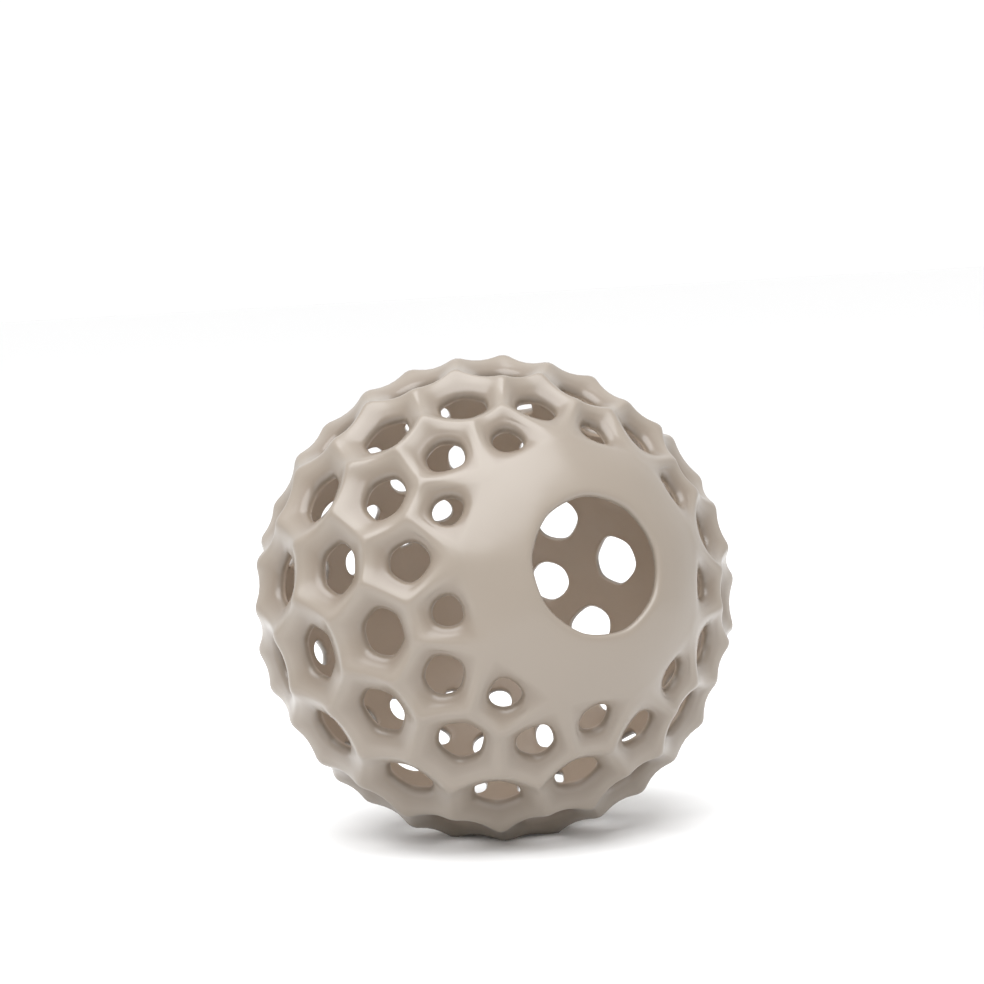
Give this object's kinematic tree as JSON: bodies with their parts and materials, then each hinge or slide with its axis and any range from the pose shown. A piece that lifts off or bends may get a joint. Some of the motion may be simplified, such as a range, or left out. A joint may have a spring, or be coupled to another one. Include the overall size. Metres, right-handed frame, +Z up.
{
  "type": "decorative sphere",
  "caption": "Hollow pierced ceramic ball with a round side mouth, scooped openings and pointed ridges, lying on a small flat spot.",
  "frame": {"origin": "on the plane the ball rests on, under the middle of its outer sizes", "axes": "+Z up from the rest plane, -Y towards the side that the mouth looks out of, with the mouth's own axis tilted about 13 degrees above -Y; +X across the ball"},
  "size_m": [0.1496, 0.1392, 0.1463],
  "materials": {
    "glazed_ceramic": "warm greige gloss glaze"
  },
  "bodies": {
    "root": {"pierced_ball": "glazed_ceramic"}
  },
  "joints": []
}
